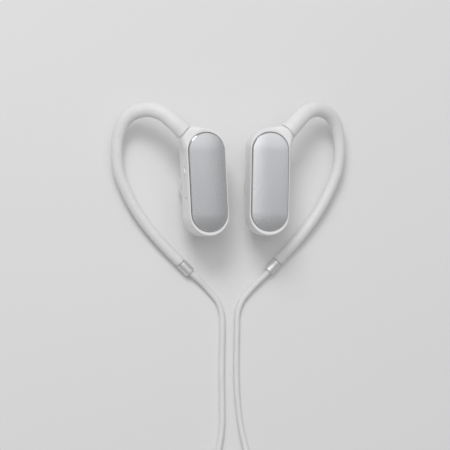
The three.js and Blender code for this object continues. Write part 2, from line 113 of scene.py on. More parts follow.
# plug_steps holds (x, inset of the plug's outline).
PORT = {
    "half_length": 3.5, "half_height": 0.9, "corner": 0.3, "from": 4.6, "to": 6.4,
    "plug_length": 3.1, "plug_height": 0.6, "plug_corner": 0.25,
    "plug_steps": [(5.5, 0.1), (5.6, 0.0), (6.2, 0.0)],
}
NUB = {"y": 3.9, "straight": 0.55, "radius": 0.45, "corner": 0.2, "root": 6.5, "top": 7.15}

# ---- The hooks' route, on the left side (+X) and before the shift to the origin ----
ORIGIN_Y = 0.5
HOOK_LINE = [
    (20.7, 22.2, 15.1), (24.2, 25.2, 13.4), (28.6, 26.6, 10.8), (33.0, 25.5, 8.4),
    (35.9, 22.6, 6.8), (37.5, 17.9, 5.6), (37.9, 12.7, 4.8), (37.2, 6.6, 4.1),
    (34.6, 0.0, 3.4), (31.3, -6.2, 2.9), (27.1, -12.1, 2.5), (21.7, -18.3, 2.2),
    (16.6, -23.5, 1.95),
]
# Radius at each share of the hook's length.
HOOK_TAPER = [
    (0, 3.0), (0.07, 2.7), (0.12, 2.56), (0.2, 2.5), (0.28, 2.3), (0.42, 1.8), (1, 1.75),
]
HOOK_ENDS = [(0.0, 0.78), (0.1, 0.92), (0.35, 1.0)]  # (distance from the end, share of the radius)
HOOK_CLEAR = 0.8  # points of the route closer to an end than this are left out
HOOK_PAST = 0.2  # the tube ends this far past its route

# ---- The end rings ----
END_RING = {"length": 4.4, "radius": 1.75, "bore": 1.1, "mouth": 0.15, "corner": 0.25, "gap": 0.3}
GROOVE = {"count": 3, "first": 0.62, "apart": 0.34, "half_width": 0.06, "depth": 0.05}

# ---- The cord and its hank, on the left side too unless the side is named ----
CORD_RADIUS = 0.95
CORD_START = 0.6  # the cord starts inside the ring, at this share of its length
CORD_REST = 0.97  # height of the cord's middle where it lies on the table
CORD_LINES = {
    "right": [
        (12.9, -27.15, 1.85), (9.9, -29.75, 1.5), (6.9, -32.95, 1.1), (4.1, -36.4, 0.97),
        (2.7, -40.2, 0.97), (2.5, -45.0, 0.97), (2.7, -52.0, 0.97), (3.0, -61.0, 0.97),
        (3.0, -70.0, 0.97), (3.3, -79.0, 0.97), (4.7, -87.0, 0.97), (5.8, -93.9, 0.97),
    ],
    "left": [
        (12.9, -27.4, 1.85), (9.4, -30.7, 1.5), (6.5, -33.8, 1.1), (4.1, -36.9, 0.97),
        (2.8, -40.6, 0.97), (2.5, -45.0, 0.97), (2.2, -52.0, 0.97), (2.0, -61.0, 0.97),
        (2.3, -70.0, 0.97), (3.3, -79.0, 1.1), (4.7, -86.5, 2.1), (5.8, -93.9, 4.9),
    ],
}
# A run and a fold rise by these shares of the cord's diameter. under is how far the tie's
# underside lifts the waist.
HANK = {
    "y": -114.6, "run": 31.0, "fold": 5.8, "waist": 2.7, "loops": 3, "under": 0.65,
    "steps": 8, "run_rise": 0.35, "fold_rise": 0.15,
}
TIE = {
    "length": 5.2, "wall": 0.6, "inside": 3.95, "top": 8.6, "corner": 1.6,
    "edge": 0.12, "flat_share": 0.47, "full_share": 0.4982,
}

# ---- Camera, as the photograph was taken ----
CAMERA = {"left": 13.0, "below": 1.5, "roll": 1.0, "distance": 866.0, "lens": 210.0}
AIM = Vector((-2.6, -11.9, 8.0)) * MM

# ---- Light, in metres and watts ----
WORLD_STRENGTH = 0.38
LIGHTS = {
    "overhead_panel": {
        "place": (-0.32, 0.5, 1.1), "aim": (-0.32, 0.5, 0), "size": (0.76, 0.91), "power": 3.7,
    },
    "overhead_strip": {
        "place": (0.32, 0.58, 1.1), "aim": (0.32, 0.58, 0), "size": (0.36, 1.07), "power": 1.1,
    },
    "top_softbox": {
        "place": (-0.3, 0.68, 0.92), "aim": (0, 0, 0), "size": (0.42, 0.32), "power": 3.9,
    },
    "corner_glint": {
        "place": (-0.43, 0.84, 0.72), "aim": (0, 0, 0), "size": (0.32, 0.13), "power": 0.62,
    },
}
TABLE_HALF = 3.0

# ---- Where nearly all the values of a noise texture lie ----
NOISE_LOW, NOISE_HIGH = 0.3, 0.7


# ---------------------------------------------------------------- camera and light
def make_camera():
    """Nearly overhead, a little to the left and towards the cord."""
    data = bpy.data.cameras.new("camera")
    camera = bpy.data.objects.new("camera", data)
    bpy.context.scene.collection.objects.link(camera)
    left, below = math.radians(CAMERA["left"]), math.radians(CAMERA["below"])
    back = Vector((
        -math.sin(left) * math.cos(below), -math.sin(below), math.cos(left) * math.cos(below),
    ))
    right = Vector((0, 1, 0)).cross(back).normalized()
    upward = back.cross(right)
    turn = Matrix((right, upward, back)).transposed().to_4x4()
    roll = Matrix.Rotation(math.radians(-CAMERA["roll"]), 4, "Z")
    camera.matrix_world = Matrix.Translation(AIM + back * CAMERA["distance"] * MM) @ turn @ roll
    data.sensor_width = 36
    data.lens = CAMERA["lens"]
    data.clip_start, data.clip_end = 0.01, 20
    bpy.context.scene.camera = camera


def make_light(name, place, aim, size, power):
    data = bpy.data.lights.new(name, "AREA")
    data.shape = "RECTANGLE"
    data.size, data.size_y = size
    data.energy = power
    lamp = bpy.data.objects.new(name, data)
    lamp.location = place
    lamp.rotation_mode = "QUATERNION"
    lamp.rotation_quaternion = (Vector(aim) - Vector(place)).to_track_quat("-Z", "Y")
    bpy.context.scene.collection.objects.link(lamp)


def make_world():
    world = bpy.data.worlds.new("world")
    world.use_nodes = True
    background = world.node_tree.nodes["Background"]
    background.inputs["Color"].default_value = (1, 1, 1, 1)
    background.inputs["Strength"].default_value = WORLD_STRENGTH
    bpy.context.scene.world = world
    bpy.context.scene.view_settings.view_transform = "Standard"


def make_lights():
    for name, light in LIGHTS.items():
        make_light(name, light["place"], light["aim"], light["size"], light["power"])


def make_table():
    corners = [(x * TABLE_HALF, y * TABLE_HALF, 0) for x, y in ((-1, -1), (1, -1), (1, 1), (-1, 1))]
    table = mesh_object("table", corners, [(0, 1, 2, 3)], [table_material()])


# ---------------------------------------------------------------- materials
def new_material(name, colour, roughness, metallic=0.0):
    material = bpy.data.materials.new(name)
    material.use_nodes = True
    shader = material.node_tree.nodes["Principled BSDF"]
    shader.inputs["Base Color"].default_value = (*colour, 1)
    shader.inputs["Roughness"].default_value = roughness
    shader.inputs["Metallic"].default_value = metallic
    return material, shader


def node(material, kind, **values):
    made = material.node_tree.nodes.new(kind)
    for name, value in values.items():
        if name in made.inputs:
            made.inputs[name].default_value = value
        else:
            setattr(made, name, value)
    return made


def link(material, source, target):
    material.node_tree.links.new(source, target)


def texture(material, kind, **values):
    """A texture node that reads the object's own coordinates."""
    where = node(material, "ShaderNodeTexCoord")
    made = node(material, kind, **values)
    link(material, where.outputs["Object"], made.inputs["Vector"])
    return made


def noise(material, scale, detail=3.0, stretch=(1, 1, 1)):
    mapped = texture(material, "ShaderNodeMapping")
    mapped.inputs["Scale"].default_value = stretch
    grain = node(material, "ShaderNodeTexNoise", Scale=scale, Detail=detail)
    link(material, mapped.outputs["Vector"], grain.inputs["Vector"])
    return grain.outputs["Fac"]


def vary_roughness(material, shader, height, low, high):
    spread = node(material, "ShaderNodeMapRange")
    spread.inputs["From Min"].default_value = NOISE_LOW
    spread.inputs["From Max"].default_value = NOISE_HIGH
    spread.inputs["To Min"].default_value = low
    spread.inputs["To Max"].default_value = high
    link(material, height, spread.inputs["Value"])
    link(material, spread.outputs["Result"], shader.inputs["Roughness"])


def vary_colour(material, shader, height, dark, light):
    ramp = node(material, "ShaderNodeValToRGB")
    ramp.color_ramp.elements[0].position = NOISE_LOW
    ramp.color_ramp.elements[0].color = (*dark, 1)
    ramp.color_ramp.elements[1].position = NOISE_HIGH
    ramp.color_ramp.elements[1].color = (*light, 1)
    link(material, height, ramp.inputs["Fac"])
    link(material, ramp.outputs["Color"], shader.inputs["Base Color"])


def bump(material, shader, height, strength, distance):
    rough = node(material, "ShaderNodeBump", Strength=strength, Distance=distance)
    link(material, height, rough.inputs["Height"])
    link(material, rough.outputs["Normal"], shader.inputs["Normal"])


def shell_material():
    """Satin white moulded plastic with a faint mould texture."""
    material, shader = new_material("white_shell", (0.86, 0.86, 0.862), 0.34)
    shader.inputs["Subsurface Weight"].default_value = 0.08
    shader.inputs["Subsurface Radius"].default_value = (1, 1, 1)
    shader.inputs["Subsurface Scale"].default_value = 0.0006
    vary_roughness(material, shader, noise(material, 900), 0.3, 0.4)
    vary_colour(material, shader, noise(material, 60, 2), (0.84, 0.84, 0.843), (0.87, 0.87, 0.871))
    bump(material, shader, noise(material, 5200), 0.12, 0.00003)
    return material


def rubber_material(name="white_rubber", level=0.82):
    """Soft white silicone rubber: matte, with a fine grain and a little dust in it."""
    material, shader = new_material(name, (level,) * 3, 0.55)
    shader.inputs["Subsurface Weight"].default_value = 0.12
    shader.inputs["Subsurface Radius"].default_value = (1, 1, 1)
    shader.inputs["Subsurface Scale"].default_value = 0.0008
    shader.inputs["Sheen Weight"].default_value = 0.15
    shader.inputs["Sheen Roughness"].default_value = 0.4
    light = (level, level * 0.998, level * 0.999)
    dark = tuple(0.955 * value for value in light)
    vary_colour(material, shader, noise(material, 240, 5), dark, light)
    vary_roughness(material, shader, noise(material, 700), 0.48, 0.62)
    bump(material, shader, noise(material, 4200, 4), 0.25, 0.00004)
    return material


def plate_material():
    """Silver anodised aluminium, fine bead-blasted, with a faint grain along its length."""
    material, shader = new_material("silver_plate", (0.58, 0.585, 0.605), 0.27, 1.0)
    vary_roughness(material, shader, noise(material, 110, 2), 0.255, 0.28)
    grain = noise(material, 5000, 3, (1, 0.4, 1))
    vary_colour(material, shader, grain, (0.568, 0.573, 0.593), (0.592, 0.597, 0.617))
    bump(material, shader, grain, 0.05, 0.00001)
    return material


def cut_edge_material():
    """The bright diamond-cut edge of the plate."""
    material, shader = new_material("bright_edge", (0.86, 0.87, 0.88), 0.16, 1.0)
    vary_roughness(material, shader, noise(material, 3000, 2, (1, 0.2, 1)), 0.12, 0.22)
    return material


def satin_metal_material():
    """Turned satin metal: fine rings round the sleeve show as a rough sheen."""
    material, shader = new_material("satin_metal", (0.8, 0.8, 0.81), 0.55, 1.0)
    vary_roughness(material, shader, noise(material, 1600, 4), 0.5, 0.6)
    bump(material, shader, noise(material, 6000, 2), 0.15, 0.00002)
    return material


def silicone_material():
    """Milky translucent silicone of the ear tips."""
    material, shader = new_material("clear_silicone", (0.84, 0.84, 0.83), 0.4)
    shader.inputs["Subsurface Weight"].default_value = 0.45
    shader.inputs["Subsurface Radius"].default_value = (1, 0.98, 0.95)
    shader.inputs["Subsurface Scale"].default_value = 0.0015
    shader.inputs["Coat Weight"].default_value = 0.15
    shader.inputs["Coat Roughness"].default_value = 0.3
    vary_roughness(material, shader, noise(material, 800), 0.34, 0.48)
    bump(material, shader, noise(material, 3600), 0.12, 0.00003)
    return material


def gauze_material():
    """Fine woven metal gauze over the sound hole."""
    material, shader = new_material("dark_mesh", (0.3, 0.31, 0.32), 0.45, 1.0)
    weave = texture(material, "ShaderNodeTexVoronoi", Scale=4200.0).outputs["Distance"]
    vary_colour(material, shader, weave, (0.05, 0.05, 0.055), (0.42, 0.43, 0.44))
    bump(material, shader, weave, 0.6, 0.00006)
    return material


def strap_material():
    """Light grey woven hook-and-loop strap."""
    material, shader = new_material("tie_grey", (0.66, 0.66, 0.665), 0.85)
    shader.inputs["Sheen Weight"].default_value = 0.4
    waves = texture(material, "ShaderNodeTexWave", Scale=900.0, Distortion=1.5)
    waves.bands_direction = "Y"
    threads = waves.outputs["Fac"]
    vary_colour(material, shader, threads, (0.56, 0.56, 0.565), (0.7, 0.7, 0.705))
    bump(material, shader, threads, 0.5, 0.00012)
    return material


def inner_material(name, colour, roughness, metallic=0.0, scale=600):
    """A plain inner part: its own colour with slight mottling and grain."""
    material, shader = new_material(name, colour, roughness, metallic)
    dark = tuple(0.85 * value for value in colour)
    vary_colour(material, shader, noise(material, scale), dark, colour)
    vary_roughness(material, shader, noise(material, 1.7 * scale), 0.85 * roughness, roughness)
    bump(material, shader, noise(material, 5 * scale), 0.15, 0.00004)
    return material


def table_material():
    """Pale matt table top, almost even."""
    material, shader = new_material("table", (0.8, 0.8, 0.8), 0.7)
    vary_colour(material, shader, noise(material, 9, 3), (0.795,) * 3, (0.805,) * 3)
    return material


# ---------------------------------------------------------------- mesh helpers
def mesh_object(name, points, faces, materials, marks=None, sharp=SHARP_ANGLE):
    """A mesh piece in metres. marks gives each face's material index."""
    mesh = bpy.data.meshes.new(name)
    mesh.from_pydata([tuple(p) for p in points], [], faces)
    for material in materials:
        mesh.materials.append(material)
    if marks:
        mesh.polygons.foreach_set("material_index", marks)
    form = bmesh.new()
    form.from_mesh(mesh)
    bmesh.ops.recalc_face_normals(form, faces=form.faces)
    form.to_mesh(mesh)
    form.free()
    mesh.shade_smooth()
    mesh.set_sharp_from_angle(angle=math.radians(sharp))
    piece = bpy.data.objects.new(name, mesh)
    bpy.context.scene.collection.objects.link(piece)
    return piece


def root_piece(name, rings, material, looped=False):
    """A piece through rings given in metres, which rides on the headset itself."""
    points, faces = loft(rings, looped)
    piece = mesh_object(name, points, faces, [material])
    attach(piece, ROOT)
    return piece


def loft(rings, looped=False):
    """Points and faces through rings of equal length. Open lofts get a flat cap at each end."""
    count = len(rings[0])
    points = [p for ring in rings for p in ring]
    faces = []
    bands = len(rings) if looped else len(rings) - 1
    for band in range(bands):
        first, second = band * count, ((band + 1) % len(rings)) * count
        for k in range(count):
            following = (k + 1) % count
            faces.append((first + k, first + following, second + following, second + k))
    if not looped:
        faces.append(tuple(range(count)))
        faces.append(tuple(range((len(rings) - 1) * count, len(rings) * count)))
    return points, faces


def arc(centre, radius, start, end, steps):
    """Profile points (r, z) on an arc, angles in degrees from the +r axis."""
    angles = [math.radians(start + (end - start) * k / steps) for k in range(steps + 1)]
    return [(centre[0] + radius * math.cos(a), centre[1] + radius * math.sin(a)) for a in angles]


def smooth_route(points, per_span):
    """Points along a centripetal Catmull-Rom curve through the given points."""
    points = [Vector(p) for p in points]
    ends = [2 * points[0] - points[1]] + points + [2 * points[-1] - points[-2]]
    route = []
    for k in range(1, len(ends) - 2):
        p0, p1, p2, p3 = ends[k - 1:k + 3]
        knots = [0.0]
        for a, b in ((p0, p1), (p1, p2), (p2, p3)):
            knots.append(knots[-1] + max((b - a).length, 1e-6) ** 0.5)
        t0, t1, t2, t3 = knots
        for step in range(per_span):
            t = t1 + (t2 - t1) * step / per_span
            a1 = p0 * ((t1 - t) / (t1 - t0)) + p1 * ((t - t0) / (t1 - t0))
            a2 = p1 * ((t2 - t) / (t2 - t1)) + p2 * ((t - t1) / (t2 - t1))
            a3 = p2 * ((t3 - t) / (t3 - t2)) + p3 * ((t - t2) / (t3 - t2))
            b1 = a1 * ((t2 - t) / (t2 - t0)) + a2 * ((t - t0) / (t2 - t0))
            b2 = a2 * ((t3 - t) / (t3 - t1)) + a3 * ((t - t1) / (t3 - t1))
            route.append(b1 * ((t2 - t) / (t2 - t1)) + b2 * ((t - t1) / (t2 - t1)))
    route.append(points[-1])
    return route


def lengths_along(route):
    """The length from the route's start to each of its points."""
    total = [0.0]
    for a, b in zip(route, route[1:]):
        total.append(total[-1] + (b - a).length)
    return total


def sweep(route, radii, sides=32):
    """Rings round a route, turned as little as possible from one to the next."""
    rings = []
    tangents = [(route[min(k + 1, len(route) - 1)] - route[max(k - 1, 0)]).normalized()
                for k in range(len(route))]
    across = tangents[0].orthogonal().normalized()
    for centre, tangent, radius in zip(route, tangents, radii):
        across = (across - tangent * across.dot(tangent)).normalized()
        up = tangent.cross(across)
        rings.append([
            centre + radius * (across * math.cos(a) + up * math.sin(a))
            for a in (2 * math.pi * k / sides for k in range(sides))
        ])
    return rings


def circle(radius, count):
    """Points (x, y) round a circle, from the +x axis."""
    angles = [2 * math.pi * k / count for k in range(count)]
    return [(radius * math.cos(a), radius * math.sin(a)) for a in angles]


def turned_rings(profile, sides=64):
    """Rings round the z axis through an outline of (radius, height)."""
    return [[Vector((x, y, z)) for x, y in circle(radius, sides)] for radius, z in profile]


def rim_points(straight, arc_steps=40, side_steps=20):
    """Base points and outward directions round a pill, anticlockwise from the +x side."""
    marks = []
    for sign in (1, -1):
        for k in range(side_steps):
            marks.append((Vector((0, sign * straight * (2 * k / side_steps - 1))), Vector((sign, 0))))
        for k in range(arc_steps):
            a = math.pi * k / arc_steps + (0 if sign > 0 else math.pi)
            marks.append((Vector((0, sign * straight)), Vector((math.cos(a), math.sin(a)))))
    return marks


def pill_ring(radius, z, straight, swell=None):
    """One ring of a pill. swell gives the radius at a base point, direction and height."""
    ring = []
    for base, outward in rim_points(straight):
        reach = swell(base, outward, z, radius) if swell else radius
        ring.append(Vector((*(base + outward * reach), z)))
    return ring


def pill_rings(profile, straight, swell=None):
    return [pill_ring(r, z, straight, swell) for r, z in profile]


# ---------------------------------------------------------------- places
def pod_matrix(side):
    """The pod's own frame, in metres, from the CAD's face plate mount and key axis."""
    mount = next(m for m in RECORD["mounts"] if m["name"] == f"{side}_plate_face")
    key_axis = Vector(next(
        j["axis"] for j in RECORD["behaviour"]["joints"] if j["name"] == "function_press"
    )).normalized()
    normal = Vector(mount["axis"]).normalized()
    outward = key_axis if side == "right" else Vector((-key_axis.x, key_axis.y, key_axis.z))
    outward = (outward - normal * outward.dot(normal)).normalized()
    upward = normal.cross(outward) if side == "left" else outward.cross(normal)
    origin = Vector(mount["pos_m"]) - normal * PLATE["front"] * MM
    frame_of_pod = Matrix((outward, upward, normal)).transposed().to_4x4()
    return Matrix.Translation(origin) @ frame_of_pod @ Matrix.Scale(MM, 4)


def unit_point(side, point):
    """A point given for the left side in millimetres, placed for its own side in metres."""
    x, y, z = point
    return Vector((x if side == "left" else -x, y - ORIGIN_Y, z)) * MM


def pod_mesh(side, name, rings, materials, looped=False, marks=None, sharp=SHARP_ANGLE):
    """A mesh through rings given in the pod's frame."""
    points, faces = loft(rings, looped)
    place = pod_matrix(side)
    return mesh_object(name, [place @ p for p in points], faces, materials, marks, sharp)


def pod_piece(side, name, rings, materials, body=ROOT, **form):
    piece = pod_mesh(side, name, rings, materials, **form)
    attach(piece, body)
    return piece


def stand_for(piece, slot, *nodes):
    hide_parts(*nodes)


# ---------------------------------------------------------------- the pod's shells
def seam_frame():
    """The middle of the neck's end face at its mid height, its heading seen from above, its dip."""
    heading, dip = math.radians(SEAM["heading"]), math.radians(SEAM["dip"])
    along = Vector((math.cos(heading), math.sin(heading)))
    centre = Vector((SEAM["x"], SEAM["y"]))
    return centre, along, dip


def soft_min(values, blend):
    """The lowest value, eased where two are nearly equal."""
    lowest = min(values)
    return lowest - blend * math.log(sum(math.exp(-(v - lowest) / blend) for v in values))


def neck_swell(base, outward, z, radius):
    """The wall's reach where the neck grows out of the pod's top outer corner.

    At each height the neck is the hull of the pod's end arc and the neck's end face: the reach
    is cut off by that face and by the two tangents from its corners to the arc."""
    centre, along, dip = seam_frame()
    height = (z - SEAM["z"]) / math.cos(dip)
    if base.y < 0 or abs(height) >= SEAM["radius"]:
        return radius
    half = math.sqrt(SEAM["radius"] ** 2 - height ** 2)
    end = Vector((0, BODY["straight"]))
    face = centre + along * (z - SEAM["z"]) * math.tan(dip)
    across = Vector((-along.y, along.x))
    reaches = []
    if outward.dot(along) > SEAM["least_facing"]:
        reaches.append((face - base).dot(along) / outward.dot(along))
    for sign in (1, -1):
        corner = face + across * half * sign - end
        distance = corner.length
        turn = math.acos(min(1, radius / distance)) * sign
        touch = Matrix.Rotation(turn, 2) @ (corner / distance)
        facing = outward.dot(touch)
        if facing > SEAM["least_facing"]:
            reaches.append((radius - (base - end).dot(touch)) / facing)
        beyond = touch.x * outward.y - touch.y * outward.x
        if beyond * sign > 0:
            return radius
    return max(radius, soft_min(reaches, SEAM["blend"]))


def wall_radius(z):
    """The outer wall's radius: a slight draft up and down, then rounded over to the rim."""
    radius, draft = BODY["radius"], WALL["draft"]
    if z <= WALL["round_from"]:
        return radius - draft * abs(z - WALL["widest"]) / WALL["draft_over"]
    share = min(1.0, (z - WALL["round_from"]) / (BODY["rim"] - WALL["round_from"]))
    rounding = WALL["round_in"] * (1 - math.sqrt(1 - share ** 2))
    return radius - draft - rounding - WALL["rim_in"] * share ** 2


def wall_levels(lowest, second):
    """Ring heights up the outer wall, closer together at the neck's bottom and top and at the rim."""
    reach = SEAM["radius"] * math.cos(math.radians(SEAM["dip"])) * SEAM["just_inside"]
    levels = [lowest, second]
    for k in range(-NECK_STEPS, NECK_STEPS + 1):
        level = SEAM["z"] + reach * math.sin(math.pi / 2 * k / NECK_STEPS)
        if level >= lowest:
            levels.append(level)
    return sorted(levels) + [BODY["rim"] - below for below in RIM_STEPS]


def outer_shell_rings():
    """From the cavity's ceiling down its wall, over the split, up outside and into the pocket."""
    low, edge = BODY["split"] + SPLIT["gap"], SPLIT["edge"]
    inner, ceiling = CAVITY["radius"], CAVITY["ceiling"]
    inside = [
        (inner - 0.6, ceiling), (inner - 0.05, ceiling - 0.05), (inner, ceiling - 0.6),
        (inner, low + edge), (inner + edge, low),
    ]
    wall = [(wall_radius(low) - edge, low)]
    wall += [(wall_radius(z), z) for z in wall_levels(low + edge * 0.4, low + edge)]
    seat, floor, rim = POCKET["radius"], POCKET["floor"], BODY["rim"]
    lip = 0.1
    pocket = [(seat + 0.03, rim - 0.02), (seat, rim - 0.08), (seat, floor + 0.03), (seat - 0.05, floor)]
    rings = pill_rings(inside, BODY["straight"])
    rings += pill_rings(wall, BODY["straight"], neck_swell)
    rings += pill_rings([(seat + lip, rim)], PLATE["straight"] + lip)
    rings += pill_rings(pocket, PLATE["straight"])
    return rings


def cut_out(piece, cutters):
    """Cuts closed cutters out of a piece one after the other, and removes the cutters."""
    for cutter in cutters:
        change = piece.modifiers.new("cut", "BOOLEAN")
        change.operation = "DIFFERENCE"
        change.solver = "EXACT"
        change.object = cutter
    bpy.context.view_layer.update()
    solid = piece.evaluated_get(bpy.context.evaluated_depsgraph_get())
    mesh = bpy.data.meshes.new_from_object(solid)
    piece.modifiers.clear()
    piece.data = mesh
    for cutter in cutters:
        bpy.data.objects.remove(cutter)
    mesh.shade_smooth()
    mesh.set_sharp_from_angle(angle=math.radians(SHARP_ANGLE))


def side_rings(profile, straight, y, z, sign):
    """Pill rings that face along sign times x: profile radii lie in the wall, its heights along x."""
    rings = []
    for radius, out in profile:
        ring = []
        for base, outward in rim_points(straight, 12, 4):
            spot = base + outward * radius
            ring.append(Vector((sign * out, y + spot.y, z + spot.x)))
        rings.append(ring)
    return rings


def rounded_rectangle(half_x, half_y, radius, steps=5):
    """Points (x, y) round a rectangle with round corners, from its +x side."""
    corners = []
    for cx, cy, start in ((1, 1, 0), (-1, 1, 90), (-1, -1, 180), (1, -1, 270)):
        centre = (cx * (half_x - radius), cy * (half_y - radius))
        corners += arc(centre, radius, start, start + 90, steps)
    return corners


def side_box_rings(levels, y, z):
    """Rounded-rectangle rings that face +x: levels hold (x, half length, half height, radius)."""
    return [
        [Vector((x, y + py, z + pz)) for py, pz in rounded_rectangle(hy, hz, radius)]
        for x, hy, hz, radius in levels
    ]


def key_opening(y):
    radius = KEY["width"] / 2 + KEY["gap"]
    straight = (KEY["length"] - KEY["width"]) / 2
    return side_rings([(radius, CUT["inside"]), (radius, CUT["outside"])], straight, y, KEY["z"], -1)


def light_opening():
    radius = LIGHT_HOLE["radius"]
    ends = [(radius, CUT["inside"]), (radius, LIGHT_HOLE["outside"])]
    return side_rings(ends, LIGHT_HOLE["straight"], LIGHT_HOLE["y"], KEY["z"], -1)


def cover_seat():
    """The shallow seat of the port cover's lid."""
    half_y, half_z = COVER["half_length"] + COVER["gap"], COVER["half_height"] + COVER["gap"]
    levels = [(x, half_y, half_z, COVER["seat_corner"]) for x in (COVER["seat_floor"], COVER["cut_to"])]
    return side_box_rings(levels, 0, COVER["z"])


def port_opening():
    """The opening in front of the socket, from the cover's seat inwards."""
    levels = [
        (x, PORT["half_length"], PORT["half_height"], PORT["corner"]) for x in (PORT["from"], PORT["to"])
    ]
    return side_box_rings(levels, 0, COVER["z"])


def microphone_hole():
    """A round hole through the pod's lower end wall."""
    return [
        [Vector((x, y, KEY["z"] + z)) for x, z in circle(MICROPHONE["radius"], MICROPHONE["sides"])]
        for y in (-BODY["straight"] - MICROPHONE["from"], -BODY["straight"] - MICROPHONE["to"])
    ]


def right_cutters(material):
    forms = [key_opening(y) for y in KEYS.values()]
    forms += [light_opening(), cover_seat(), port_opening(), microphone_hole()]
    return [pod_mesh("right", f"cutter_{k}", rings, [material]) for k, rings in enumerate(forms)]


def make_outer_shell(side, material):
    piece = pod_piece(side, f"{side}_outer_shell_fine", outer_shell_rings(), [material])
    if side == "right":
        cut_out(piece, right_cutters(material))
    stand_for(piece, "white_shell", f"{side}_outer_shell")


def inner_shell_profile():
    """The inner shell's outline: rounded bottom, wall, split edge, and the cavity's wall and floor."""
    high, edge = BODY["split"] - SPLIT["gap"], SPLIT["edge"]
    inner, floor, fillet = CAVITY["radius"], CAVITY["floor"], CAVITY["fillet"]
    outer = BOTTOM["top_radius"]
    profile = BOTTOM["flat"] + arc(BOTTOM["centre"], BOTTOM["radius"], -84, -12, 14)
    profile += BOTTOM["wall"] + [(outer, high - edge), (outer - edge, high)]
    profile += [(inner + edge, high), (inner, high - edge), (inner, floor + fillet)]
    profile += arc((inner - fillet, floor + fillet), fillet, 0, -90, 8)[1:]
    profile += [(BOTTOM["floor_edge"], floor)]
    return profile


def spout_profile():
    """The nozzle that carries the ear tip: root in the shell, flared neck, barb and bore."""
    root, bore, middle = SPOUT["root"], SPOUT["bore"], SPOUT["on_axis"]
    profile = [(middle, 0.5), (root, 0.5), (root, 0.02), (root - 0.2, -0.12)]
    profile += arc((3.3, -1.5), 1.4, 88, 172, 8)
    profile += SPOUT["barb"]
    profile += [(SPOUT["gauze_seat"], SPOUT["end"]), (SPOUT["gauze_seat"], SPOUT["end"] + 0.5)]
    profile += [(bore, SPOUT["end"] + 0.5), (bore, 0.4), (middle, 0.4)]
    return profile


def nozzle_rings(profile):
    centre = Vector((0, NOZZLE_Y, 0))
    return [[p + centre for p in ring] for ring in turned_rings(profile)]


def make_inner_shell(side, material):
    rings = pill_rings(inner_shell_profile(), BODY["straight"])
    piece = pod_piece(side, f"{side}_inner_shell_fine", rings, [material])
    spout = pod_mesh(side, "spout", nozzle_rings(spout_profile()), [material])
    join_meshes(piece, [spout])
    stand_for(piece, "white_shell", f"{side}_inner_shell")


def join_meshes(piece, others):
    """Adds the other pieces' meshes to a piece, and removes those pieces."""
    form = bmesh.new()
    form.from_mesh(piece.data)
    for other in others:
        form.from_mesh(other.data)
        bpy.data.objects.remove(other)
    form.to_mesh(piece.data)
    form.free()


def make_face_plate(side, face, edge):
    """A plate with a slight crown. Its bevel has the bright material."""
    radius, back = PLATE["radius"], PLATE["back"]
    top_radius = radius - PLATE["bevel_in"]
    shoulder = PLATE["front"] - PLATE["shoulder"]
    profile = [(radius - 0.4, back), (radius - 0.06, back), (radius, back + 0.06)]
    profile += [(radius, shoulder - PLATE["bevel_down"]), (top_radius, shoulder)]
    bevel_band = len(profile) - 2
    for k in range(1, PLATE["steps"]):
        r = top_radius * (1 - k / PLATE["steps"])
        profile.append((r, shoulder + PLATE["crown"] * (1 - (r / top_radius) ** 2)))
    low = Vector((0, -PLATE["low_by"], 0))
    rings = [[p + low for p in ring] for ring in pill_rings(profile, PLATE["straight"])]
    marks = []
    for band in range(len(rings) - 1):
        marks += [1 if band == bevel_band else 0] * len(rings[0])
    marks += [0, 0]
    piece = pod_piece(side, f"{side}_face_plate_fine", rings, [face, edge], marks=marks, sharp=20)
    stand_for(piece, "silver_plate", f"{side}_face_plate")


def ear_tip_profile():
    """The ear tip's closed outline: sleeve, hollow under the skirt, skirt, round top and bore."""
    sleeve = [(2.1, -1.05), (2.2, -0.98), (2.8, -0.98), (2.9, -1.1), (2.9, -5.5)]
    hollow = arc((3.3, -5.4), 0.4, 180, 270, 5)
    hollow += [(3.9, -5.62), (4.5, -5.1), (4.95, -4.3), (5.3, -3.3), (5.5, -2.3)]
    lip = arc((5.77, -2.25), 0.25, 180, 0, 6)
    skirt = [(6.05, -3.2), (5.92, -4.1), (5.55, -5.0), (4.95, -5.85), (4.2, -6.45), (3.3, -6.85)]
    top = [(2.8, -6.97), (2.45, -6.97), (2.2, -6.85), (2.1, -6.6)]
    bore = [(2.1, -4.35), (2.4, -4.2), (2.4, -3.1), (2.1, -2.95)]
    return sleeve + hollow + lip + skirt + top + bore


def make_ear_tip(side, material):
    rings = nozzle_rings(ear_tip_profile())
    piece = pod_piece(side, f"{side}_ear_tip_fine", rings, [material], looped=True)
    stand_for(piece, "clear_silicone", f"{side}_ear_tip")


# ---------------------------------------------------------------- hooks, rings, cord
def hook_route(side):
    """The hook's middle line in metres, from just past its seam with the neck to its end."""
    centre, along, dip = seam_frame()
    heading = Vector((along.x * math.cos(dip), along.y * math.cos(dip), -math.sin(dip)))
    place = pod_matrix(side)
    root = place @ (Vector((*centre, SEAM["z"])) + heading * SEAM["gap"])
    route = smooth_route([root] + [unit_point(side, p) for p in HOOK_LINE], 14)
    start = root - (place.to_3x3() @ heading) * SEAM["back"]
    return [start] + route


def taper(share):
    for (from_share, from_radius), (to_share, to_radius) in zip(HOOK_TAPER, HOOK_TAPER[1:]):
        if share <= to_share:
            part = (share - from_share) / (to_share - from_share)
            return from_radius + (to_radius - from_radius) * part
    return HOOK_TAPER[-1][1]


def smooth_taper(share):
    """The taper, averaged over a short stretch so that it has no corners."""
    window = [max(0, min(1, share + 0.01 * k)) for k in range(-6, 7)]
    return sum(taper(s) for s in window) / len(window) * MM


